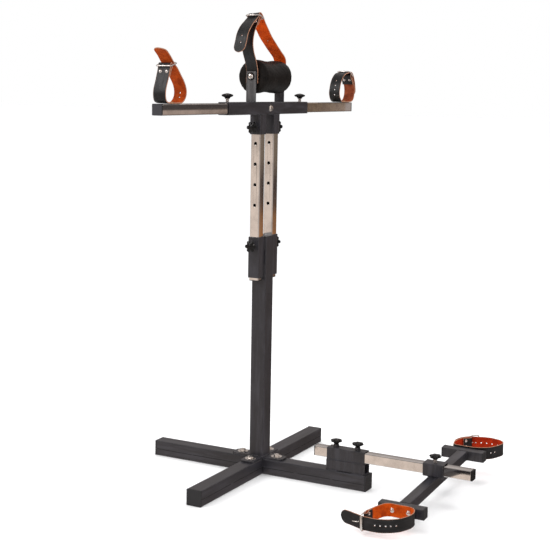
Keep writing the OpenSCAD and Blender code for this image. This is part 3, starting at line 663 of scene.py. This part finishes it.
def buckle(shape, place, pin_at, tip_at, prong=None, tube=2.15):
    """A wire frame with a pin, a prong wrapped round it and a sleeve on the far bar.
    prong gives the tongue's line from the pin where it doesn't lie along the frame."""
    w = BUCKLE_W
    shape.add(*sweep(round_rect(w - 3, BUCKLE_D - 3, 4.2), 1.5, 14, True), 0, place)
    across = [(x, pin_at, 0) for x in (-w / 2 + 1.6, w / 2 - 1.6)]
    shape.add(*sweep(across, 1.3, 14), 0, place)
    sleeve = [(x, tip_at, 0) for x in (-w / 2 + 5.5, -w / 2 + 5.9, w / 2 - 5.9, w / 2 - 5.5)]
    shape.add(*sweep(sleeve, lambda i: tube - (0.25, 0, 0, 0.25)[i], 18), 0, place)
    reach = tip_at - pin_at
    sign = 1 if reach > 0 else -1
    line = [Vector((0, pin_at - sign * 2.4 * math.cos(math.radians(a)),
                    2.4 * math.sin(math.radians(a)))) for a in (-60, -20, 20, 60)]
    if prong:
        line += [Vector(p) for p in prong]
    else:
        for i in range(11):
            f = i / 10
            line.append(Vector((0, pin_at + reach * f + sign * 1.6 * f,
                                2.5 + 0.8 * math.sin(math.pi * f) - 0.3 * f)))
    last = len(line) - 1
    shape.add(*sweep(line, lambda i: 1.35 - 0.4 * max(0, i - last + 4) / 4, 12), 0, place)


def rivets(shape, path, place, i, t, outer, layers):
    """Two rivets through the folded strap, their domes on its finished side. layers is how
    far the fold's inner layer lies behind the outer one."""
    p, nrm = spline_frame(path, i, t)
    nrm = nrm * outer
    for w in (-RIVETS_APART / 2, RIVETS_APART / 2):
        a = place(*(p + nrm * (STRAP_T / 2 + 0.1)), w)
        b = place(*(p - nrm * (layers + STRAP_T / 2 + 0.3)), w)
        shape.add(*lathe(DOME, 32), 0, axes(a, a - b))
        shape.add(*lathe(BURR, 32), 0, axes(b, b - a))
        shape.add(*sweep([a, b], 1.4, 16))


def pan_screw(shape, at, out, r, mat=0, washer=0.0):
    """A round screw head with a round recess in its top, on an optional cup washer."""
    turn = axes(at, out)
    lift = 0.0
    if washer:
        shape.add(*lathe([(washer * 0.35, 1.2), (washer * 0.6, 1.35), (washer * 0.86, 1.0),
                          (washer, 0.35), (washer, -0.2)], 36), 0, turn)
        lift = 0.9
    head = [(0.05, 0.55), (r * 0.28, 0.6), (r * 0.34, 1.75), (r * 0.62, 1.6), (r * 0.9, 0.95),
            (r, 0.25), (r * 0.98, -0.3)]
    shape.add(*lathe([(a, z + lift) for a, z in head], 28), mat, turn)


def local(side, at, rot, spot):
    """Frame of a wrist buckle from its spot (x, out, up) and tilt."""
    m = Matrix.Translation((0, side * at, ARM_TOP)) @ Matrix.Diagonal((1, side, 1, 1))
    return m @ Matrix.Translation(spot) @ Matrix.Rotation(math.radians(rot), 4, "X")


def edge_local(side, at, turn):
    """Frame of an ankle buckle, whose bars stand upright."""
    m = SPREAD @ Matrix.Diagonal((1, side, 1, 1)) @ Matrix.Translation((0, CROSS_FACE, CROSS_Z))
    m = m @ Matrix.Translation(at) @ Matrix.Rotation(math.radians(turn), 4, "Z")
    for axis in "ZYX":
        m = m @ Matrix.Rotation(math.radians(90), 4, axis)
    return m


s = Shape()
turn = Matrix.Rotation(math.radians(-19), 4, "X")
buckle(s, Matrix.Translation((0, -59, 1142.7)) @ turn, 0, -11.5)
s.build("neck_buckle_frame", [STEEL], "head", ["neck_buckle"])
s = Shape()
rivets(s, NECK_BUCKLE, neck_place, 7, 0.5, 1, 3.3)
s.build("neck_strap_rivets", [STEEL], "head", ["neck_rivets"])

s = Shape()
buckle(s, local(-1, NEAR_AT, -17, (0, 13, 83.6)), 4, -11.5)
s.build("wrist_buckle_left", [STEEL], "near_arm", ["wrist_buckle_near"])
s = Shape()
rivets(s, NEAR, near_place, 5, 0.35, 1, 3.7)
for x in (-7, 7):
    pan_screw(s, near_place(0, SEAT + STRAP_T / 2, x), (0, 0, 1), 3.4, 1)
s.build("wrist_rivets_left", [STEEL, BRASS], "near_arm", ["wrist_fasteners_near"])

s = Shape()
buckle(s, local(1, FAR_AT, -33, (0, 18, 77.6)), 6.4, -11.5)
s.build("wrist_buckle_right", [STEEL], "far_arm", ["wrist_buckle_far"])
s = Shape()
rivets(s, FAR, far_place, 4, 0.8, 1, 5.1)
for x in (-7, 7):
    pan_screw(s, far_place(0, SEAT + STRAP_T / 2, x), (0, 0, 1), 3.4, 1)
s.build("wrist_rivets_right", [STEEL, BRASS], "far_arm", ["wrist_fasteners_far"])

s = Shape()
buckle(s, edge_local(-1, (-52, 88.3, 0), 0), -11.5, 11.5,
       prong=[(0, -7, 0.5), (0, -2, -3.5), (0, 3.5, -7.5), (0, 6.5, -10.5), (0.3, 7.2, -13.5),
              (0.8, 6.6, -17), (1.5, 5.4, -21), (2.2, 3.8, -25)], tube=3.0)
buckle(s, edge_local(1, (-2.9, 77.7, 0), 131.3), 11.5, -11.5)
s.build("ankle_buckle_frames", [SHINY], "spreader", ["ankle_buckles"])
s = Shape()
rivets(s, FRONT, front_place, 5, 0.1, -1, 3.4)
rivets(s, REAR, rear_place, 5, 0.05, -1, 4.9)
for put in (front_place, rear_place):
    for x in (-20, 20):
        a, b = put(x, SEAT + STRAP_T / 2, 0), put(x, 9, 0)
        pan_screw(s, a, b - a, 3.4, 0, 5.6)
s.build("ankle_rivets", [SHINY], "spreader", ["ankle_fasteners"])


# ---- Knobs -----------------------------------------------------------------------
def lobes(a, r, z):
    """Draws the knob in between its six points and lifts its skirt there."""
    dip = (0.5 - 0.5 * math.cos(6 * a)) ** 1.9
    reach = max(0.0, (r - 5.5) / 9.5)
    return r - 4.4 * dip * reach ** 1.3, z + (16 - z) * 0.16 * dip * reach


KNOB_TIP = 20.8                 # height of the knob's top above the face that it stands on
KNOB = [(4.2, 8.3), (5.4, 8.4), (6.2, 9.1), (7.0, 10.6), (8.6, 11.7), (10.8, 12.4), (12.8, 13.2),
        (14.2, 14.1), (14.9, 15.1), (14.95, 16.0), (14.5, 16.9), (13.4, 17.6), (11.6, 18.3),
        (9.4, 19.0), (7.4, 19.5), (6.6, 19.75), (6.2, 19.5), (5.6, 19.55), (4.4, 20.1),
        (2.6, 20.6), (0.1, KNOB_TIP)]


def knob(body):
    low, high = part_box(body)
    low, high = low / MM, high / MM
    mid = (low + high) / 2
    if body == "knob_spreader":
        place = SPREAD @ Matrix.Translation((0, 0, SPREADER_TOP))
    elif body.startswith(("knob_post", "knob_head")):
        side = -1 if mid.y < 0 else 1
        tip = low.y if side < 0 else high.y
        place = axes((0, tip - side * KNOB_TIP, mid.z), (0, side, 0), (1, 0, 0))
    else:
        place = axes((mid.x, mid.y, high.z - KNOB_TIP), (0, 0, 1), (1, 0, 0))
    s = Shape()
    s.add(*lathe(KNOB, 96, lobes), 0, place)
    s.build(body + "_head", [BLACK_PLASTIC], body, [body], 60)
    s = Shape()
    thread = [(0.1, -2.1), (3.0, -2.1)]
    for i in range(9):
        z = -1.8 + i * 1.2
        thread += [(3.35, z), (3.9, z + 0.3), (3.9, z + 0.6), (3.35, z + 0.9)]
    thread += [(3.35, 8.9), (0.1, 9.0)]
    s.add(*lathe(thread, 32), 0, place)
    s.add(*lathe([(3.6, 7.4), (5.0, 7.4), (5.2, 7.7), (5.2, 8.3), (3.6, 8.5)], 32), 0, place)
    stud = BLACK_STEEL if body.startswith("knob_ankle") else STEEL
    s.build(body + "_stud", [stud], body, (), 30)


for name in frame["bodies"]:
    if name.startswith("knob"):
        knob(name)


# ---- Bolts, nuts and washers -------------------------------------------------------
def hexagon(shape, place, across, height, dished=True):
    """A hexagon head or nut with a turned chamfer. A bolt's head is dished on top."""
    n, flat = 72, across / 2
    dish, middle = (0.35, 0.4) if dished else (0.0, 0.0)
    edge = flat * 0.97

    def hex_r(a):
        return flat / math.cos((a + math.pi / 6) % (math.pi / 3) - math.pi / 6)

    loops = []
    for kind in range(6):
        loop = []
        for j in range(n):
            a = 2 * math.pi * j / n
            h = hex_r(a)
            drop = (h - edge) * 0.55
            r, z = ((h - 0.15, 0.0), (h, 0.2), (h, height - drop), (edge, height),
                    (edge * 0.62, height - dish), (0.1, height - middle))[kind]
            loop.append((r * math.cos(a), r * math.sin(a), z))
        loops.append(loop)
    shape.add(*rings(loops), 0, place)


def washer(shape, place, inner, outer, t):
    b = 0.25
    shape.add(*lathe([(inner, 0), (outer - b, 0), (outer, b), (outer, t - b), (outer - b, t),
                      (inner + b, t), (inner, t - b)], 64), 0, place)


def shank(shape, place, r, depth, chamfer, top):
    """A bolt's plain shank, chamfered at its hidden end."""
    shape.add(*lathe([(0.1, -depth), (r - 0.4, -depth), (r, chamfer - depth), (r, top),
                      (0.1, top)], 24), 0, place)


FOOT_BOLTS = 49                 # radius of the circle of four bolts round the column
WASHER_T = 1.6


def on_foot(k, z, twist):
    """Frame of the foot's bolt k at height z, each turned by another twist than the last."""
    a = math.radians(90 * k)
    at = (FOOT_BOLTS * math.cos(a), FOOT_BOLTS * math.sin(a), z)
    return Matrix.Translation(at) @ Matrix.Rotation(a + twist * k, 4, "Z")


s = Shape()
top = (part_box("foot_washers")[1] / MM).z
for k in range(4):
    washer(s, on_foot(k, top - WASHER_T, 0.3), 4.1, 14, WASHER_T)
s.build("foot_washer_rings", [SHINY], "stand", ["foot_washers"])
s = Shape()
for k in range(4):
    turn = on_foot(k, top, 0.4)
    hexagon(s, turn, 13, 5.3)
    shank(s, turn, 4, 12, 0.6, 0.2)
s.build("foot_bolt_heads", [SHINY], "stand", ["foot_bolts"])

s = Shape()
low, high = (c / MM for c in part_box("bar_stop_bolt"))
turn = axes((high.x - 4.2, 0, (low.z + high.z) / 2), (1, 0, 0))
washer(s, turn, 3.1, 8.2, 1.0)
hexagon(s, turn @ Matrix.Translation((0, 0, 1.0)), 11, 3.2)
shank(s, turn, 3, 22, 0.5, 0.3)
s.build("bar_bolt", [SHINY], "head", ["bar_stop_bolt"])

BRACKET_FACE = 74.75            # outer faces of the roller's brackets
s = Shape()
low, high = (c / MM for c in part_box("roller_axle"))
axle_z = (low.z + high.z) / 2
near_face = low.y + 4.5
far_face = BRACKET_FACE + WASHER_T
BUTTON = [(0.1, -0.2), (7.0, -0.2), (7.1, 0.3), (6.9, 1.6), (6.0, 3.0), (4.4, 4.0), (2.6, 4.4),
          (2.4, 2.6), (0.1, 2.6)]
s.add(*lathe(BUTTON, 48), 0, axes((0, near_face, axle_z), (0, -1, 0)))
hexagon(s, axes((0, far_face, axle_z), (0, 1, 0)), 13, 6.2, dished=False)
rod = [(0.1, near_face - 0.5), (4.0, near_face - 0.5), (4.0, far_face + 5.5)]
y = far_face + 6
while y < high.y - 1.4:
    rod += [(3.5, y), (3.95, y + 0.35), (3.95, y + 0.7), (3.5, y + 1.05)]
    y += 1.25
rod += [(3.4, high.y - 0.4), (3.0, high.y), (0.1, high.y)]
s.add(*lathe(rod, 32), 0, axes((0, 0, axle_z), (0, 1, 0)))
s.build("axle_bolt", [SHINY], "head", ["roller_axle"])
s = Shape()
for side in (-1, 1):
    washer(s, axes((0, side * BRACKET_FACE, axle_z), (0, side, 0)), 4.15, 9.4, WASHER_T)
s.build("axle_washer_rings", [BLACK_PLASTIC], "head", ["axle_washers"])


# ---- Roller pad -----------------------------------------------------------------
def roller_pad():
    """The filled roller: a waist, gathered ends, one seam and shallow folds."""
    low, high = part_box("roller_pad")
    h, z0 = (high.y - low.y) / 2 / MM, (high.z + low.z) / 2 / MM
    full, around, n_round = 40.2, 38, 160
    seam_at, most = 3.9, 40.5
    profile = [(11.4, -h + 6.5), (12.6, -h + 3.6), (16.0, -h + 1.8), (21.0, -h + 0.7),
               (27.0, -h + 0.2), (33.0, -h + 0.4), (37.2, -h + 1.6), (39.4, -h + 4.0),
               (full, -h + 8.0), (full, -h + 14.0)]
    k = 34
    mid = [(full - 3.0 * math.cos(math.pi * (i / k - 0.5)) ** 2, (-h + 15) + (2 * h - 30) * i / k)
           for i in range(1, k)]
    line = profile + mid + [(r, -y) for r, y in reversed(profile)]
    fine = []
    for (ra, ya), (rb, yb) in zip(line, line[1:]):
        fine += [(ra, ya), ((ra + rb) / 2, (ya + yb) / 2)]
    line = fine + [line[-1]]
    loops, marks = [], []
    run = 0.0
    for i, (r, y) in enumerate(line):
        if i:
            run += math.hypot(r - line[i - 1][0], y - line[i - 1][1])
        loop, mark = [], []
        for j in range(n_round):
            a = 2 * math.pi * j / n_round
            p = Vector((math.cos(a), math.sin(a), 0))
            gather = max(0.0, 1 - (h - abs(y)) / 24)
            pleat = math.sin(a * 19 + 1.3 * math.sin(a * 3)) * 0.22 * gather * min(1, r / 30)
            fold = noise.noise((p.x * 1.6, p.y * 1.6, y * 0.04 + 5)) * 0.9
            fold += abs(noise.noise((p.x * 3.5 + 9, p.y * 3.5, y * 0.07))) * -0.8 * (1 - gather)
            seam = -0.9 * math.exp(-((a - seam_at) * r / 1.6) ** 2)
            band = -0.55 * math.exp(-((abs(y) - (h - 15)) / 1.3) ** 2) if r > 36 else 0
            move = (fold * min(1, r / 30) + pleat + seam + band) * (1 if r > 14 else 0.2)
            rr = min(r + move, most)
            loop.append((rr * math.cos(a), y, rr * math.sin(a) + z0))
            mark.append((a * around * MM, run * MM))
        loops.append(loop)
        marks.append(mark)
    verts, faces = rings(loops, caps=False)
    uvs = []
    for i in range(len(line) - 1):
        for j in range(n_round):
            j2 = (j + 1) % n_round
            wrap = 2 * math.pi * around * MM if j2 == 0 else 0
            uvs.append([marks[i][j], (marks[i][j2][0] + wrap, marks[i][j2][1]),
                        (marks[i + 1][j2][0] + wrap, marks[i + 1][j2][1]), marks[i + 1][j]])
    s = Shape()
    s.add(verts, faces, 0, None, uvs)
    obj = s.build("roller_cushion", [ROLLER], "roller", ["roller_pad"], 60)


roller_pad()


# ---- Weld beads --------------------------------------------------------------------
DROP = 0.7                      # length of one step along a bead


def bead(shape, a, b, r, seed):
    """A weld bead of overlapping drops from a to b."""
    a, b = Vector(a), Vector(b)
    count = max(6, int((b - a).length / DROP))
    side = (b - a).normalized().orthogonal()

    def radius(i):
        s = i * DROP
        end = min(1.0, (min(i, count - i) + 1.5) / 4)
        drops = 0.22 * abs(math.sin(s * 1.15 + seed)) + 0.16 * noise.noise((s * 0.3, seed, 2.2))
        return r * end * (0.82 + drops)

    pts = [a.lerp(b, i / count) + side * 0.25 * noise.noise((i * 0.2, seed, 8))
           for i in range(count + 1)]
    shape.add(*sweep(pts, radius, 10))


def loop_bead(shape, points, r, seed=0.0):
    for i, p in enumerate(points):
        bead(shape, p, points[(i + 1) % len(points)], r, seed + i)


def square(half, z):
    return [(half, -half, z), (half, half, z), (-half, half, z), (-half, -half, z)]


# The column's foot, the two lower sleeves, the column's cap, the ankle block and its bosses.
s = Shape()
loop_bead(s, square(20.2, 45.3), 1.9)
for side in (-1, 1):
    for x in (-15.3, 15.3):
        bead(s, (x, side * 20.3, 510), (x, side * 20.3, 540), 1.6, side + x)
        bead(s, (x, side * 20.3, 576), (x, side * 20.3, 608), 1.6, side - x)
loop_bead(s, square(18.6, 607.2), 0.9)
for side in (-1, 1):
    bead(s, (199, side * 15.4, 40.4), (228, side * 15.4, 40.4), 1.7, 3 + side)
    bead(s, (266, side * 15.4, 40.4), (297, side * 15.4, 40.4), 1.7, 5 + side)
    bead(s, (200, side * 14.9, 67), (226, side * 14.9, 67), 1.2, 7 + side)
    bead(s, (268, side * 14.9, 67), (296, side * 14.9, 67), 1.2, 9 + side)
for x in (216, 274):
    ring = [(x + 7.2 * math.cos(t), 7.2 * math.sin(t), 97.3)
            for t in (math.radians(30 * i) for i in range(12))]
    loop_bead(s, ring, 0.9, x)
s.build("stand_welds", [PAINT], "stand")

# The upper sleeves under the crossbar, and the roller's brackets on it.
s = Shape()
for side in (-1, 1):
    for y in (20.3, 49.7):
        bead(s, (-14, side * y, 910.2), (14, side * y, 910.2), 1.7, y * side)
    for x in (-15.0, 15.0):
        bead(s, (x, side * 22, 910.4), (x, side * 48, 910.4), 1.0, x + side)
    for off in (-2.2, 2.2):
        bead(s, (-12, side * 73 + off, 940.8), (12, side * 73 + off, 940.8), 1.6, off * side)
s.build("head_welds", [PAINT], "head")

# The spreader's cross tube under its sleeve, and the short tubes on its ends.
s = Shape()
for x in (-12.7, 12.7):
    bead(s, SPREAD @ Vector((x, -15.4, -16.3)), SPREAD @ Vector((x, 15.4, -16.3)), 1.5, x)
for side in (-1, 1):
    y = side * 190.8
    for x in (-12.6, 12.6):
        bead(s, SPREAD @ Vector((x, y, -39.5)), SPREAD @ Vector((x, y, -17.5)), 1.4, x + y)
    for z in (-41.0, -16.0):
        bead(s, SPREAD @ Vector((-12, y, z)), SPREAD @ Vector((12, y, z)), 1.1, z + y)
s.build("spreader_welds", [PAINT], "spreader")


# ---- Finishes of the CAD pieces --------------------------------------------------
FINISH = {
    "base_end_caps": CAP_PLASTIC, "post_plugs": BLACK_PLASTIC, "ankle_tube_caps": BLACK_PLASTIC,
    "cross_tube_caps": CAP_PLASTIC, "roller_core": BLACK_PLASTIC,
    "arm_near_cap": GREY_PLASTIC, "arm_far_cap": GREY_PLASTIC,
    "post_front": POST_FRONT, "post_rear": POST_REAR, "arm_near": ARM_LEFT, "arm_far": ARM_RIGHT,
    "ankle_tube": ANKLE, "roller_bracket_near": LIT_BRACKET_PAINT, "roller_bracket_far": PAINT,
    "base_long_tube": BASE_PAINT_Y, "base_left_tube": BASE_PAINT_X, "base_right_tube": BASE_PAINT_X,
    "bar_sleeve": BAR_PAINT, "spreader_tube": BAR_PAINT,
}
for name, obj in nodes.items():
    if obj.hide_render:
        continue
    finish = FINISH.get(name, PAINT)
    for part in obj.material_slots:
        part.material = finish
    weld = obj.modifiers.new("weld", "WELD")
    weld.merge_threshold = 0.00001
    round_off = obj.modifiers.new("round", "BEVEL")
    round_off.width = 0.0005
    round_off.segments = 2
    round_off.limit_method = "ANGLE"
    round_off.angle_limit = math.radians(50)
    round_off.harden_normals = True


# ---- Floor, light and camera --------------------------------------------------------
floor_mesh = bpy.data.meshes.new("floor")
floor_mesh.from_pydata([(-40, -40, 0), (40, -40, 0), (40, 40, 0), (-40, 40, 0)], [], [(0, 1, 2, 3)])
floor = bpy.data.objects.new("floor", floor_mesh)
bpy.context.scene.collection.objects.link(floor)
k = Look("floor", Specular_IOR_Level=0.0)
floor_mesh.materials.append(k.finish((0.94, 0.94, 0.94, 1), 0.9))
floor.location.z = -0.0004
floor.visible_glossy = False

world = bpy.data.worlds.new("studio")
bpy.context.scene.world = world
world.use_nodes = True
tree = world.node_tree
tree.nodes.clear()


class Sky(Look):
    """The same node helpers for the world, which has no Principled shader."""

    def __init__(self, tree):
        self.tree = tree
        self.coord = self.node("ShaderNodeTexCoord")


k = Sky(tree)
xyz = k.xyz("Generated")
turn = k.math("MULTIPLY", k.math("ARCTAN2", xyz[1], xyz[0]), 180 / math.pi)
height = xyz[2]


def between(a, b, c, d):
    """1 from turn b to turn c, in degrees, fading out to turn a and turn d."""
    return k.math("MULTIPLY", k.fit(turn, a, b), k.fit(turn, d, c))


# What the plating mirrors. turn is the direction in degrees from +X towards +Y, and height is
# the sine of the elevation. First comes the wall behind the stand at the right, in bands that
# start to show at the first number and are full at the second.
wall = k.mix(k.fit(turn, 64.4, 65.2), (0.185, 0.145, 0.108), (0.42, 0.36, 0.34))
for measure, start, full, tone in (
        (height, -0.060, -0.073, (0.040, 0.030, 0.028)),
        (height, -0.094, -0.106, (0.34, 0.150, 0.055)),
        (height, -0.138, -0.152, (0.080, 0.070, 0.066)),
        (turn, 60.7, 60.0, (0.42, 0.325, 0.275))):
    wall = k.mix(k.fit(measure, start, full), wall, tone)
# The rest of the room, dark behind the stand at the left and pale in front at the left.
side = k.mix(between(36.0, 52.0, 80.0, 100.0), (0.56, 0.49, 0.45), wall)
side = k.mix(between(84.0, 105.0, 150.0, 172.0), side, (0.10, 0.09, 0.09))
side = k.mix(between(-165.0, -140.0, -108.0, -90.0), side, (0.82, 0.69, 0.60))
# Above the horizon, straight overhead and underfoot.
above = k.mix(k.fit(height, 0.03, 0.6), (0.070, 0.060, 0.056), (0.88, 0.80, 0.76))
raised = k.math("ADD", height, k.fit(turn, 61.0, 60.2, 0.0, 0.030))
gloss = k.mix(k.fit(raised, -0.010, 0.008), side, above)
gloss = k.mix(k.fit(height, 0.60, 0.93), gloss, (0.34, 0.33, 0.325))
gloss = k.mix(k.fit(height, -0.35, -0.75), gloss, (0.80, 0.78, 0.77))
paths = k.node("ShaderNodeLightPath")
final = k.mix(paths.outputs["Is Glossy Ray"], (1.07, 1.07, 1.08), gloss)
final = k.mix(paths.outputs["Is Camera Ray"], final, (1.0, 1.0, 1.0))
back = k.node("ShaderNodeBackground")
k.put(back.inputs["Color"], final)
out = k.node("ShaderNodeOutputWorld")
k.put(out.inputs["Surface"], back.outputs[0])


def area(name, at, to, size, power, color=(1, 1, 1)):
    data = bpy.data.lights.new(name, "AREA")
    data.shape, data.size, data.energy, data.color = "DISK", size, power, color
    lamp = bpy.data.objects.new(name, data)
    lamp.location = at
    lamp.rotation_euler = (Vector(to) - Vector(at)).to_track_quat("-Z", "Y").to_euler()
    bpy.context.scene.collection.objects.link(lamp)
    return lamp


area("key", (-2.2, -3.0, 3.2), (0, 0, 0.6), 1.6, 60)
area("fill", (3.0, -2.4, 1.8), (0, 0, 0.6), 1.8, 18, (1.0, 0.95, 0.92))
area("top", (0.3, 0.8, 3.4), (0.1, 0, 0.3), 2.0, 30).visible_glossy = False

# Fitted to the photograph: millimetres of lens, metres, and degrees of azimuth, pitch and roll.
FOCAL, CAMERA_AT, CAMERA_TURN = 82.44, (1.48474, -2.75601, 0.98107), (27.74, -8.56, 1.02)
lens = bpy.data.cameras.new("camera")
lens.lens, lens.sensor_width = FOCAL, 36.0
lens.clip_end = 200
cam = bpy.data.objects.new("camera", lens)
azimuth, pitch, roll = (math.radians(a) for a in CAMERA_TURN)
ahead = Vector((-math.sin(azimuth), math.cos(azimuth), 0))
right = Vector((math.cos(azimuth), math.sin(azimuth), 0))
aim = ahead * math.cos(pitch) + Vector((0, 0, 1)) * math.sin(pitch)
up = right.cross(aim)
right = right * math.cos(roll) + up * math.sin(roll)
up = right.cross(aim)
cam.matrix_world = (Matrix.Translation(CAMERA_AT)
                    @ Matrix((right, up, -aim)).transposed().to_4x4())
bpy.context.scene.collection.objects.link(cam)
bpy.context.scene.camera = cam
bpy.context.scene.view_settings.view_transform = "Standard"
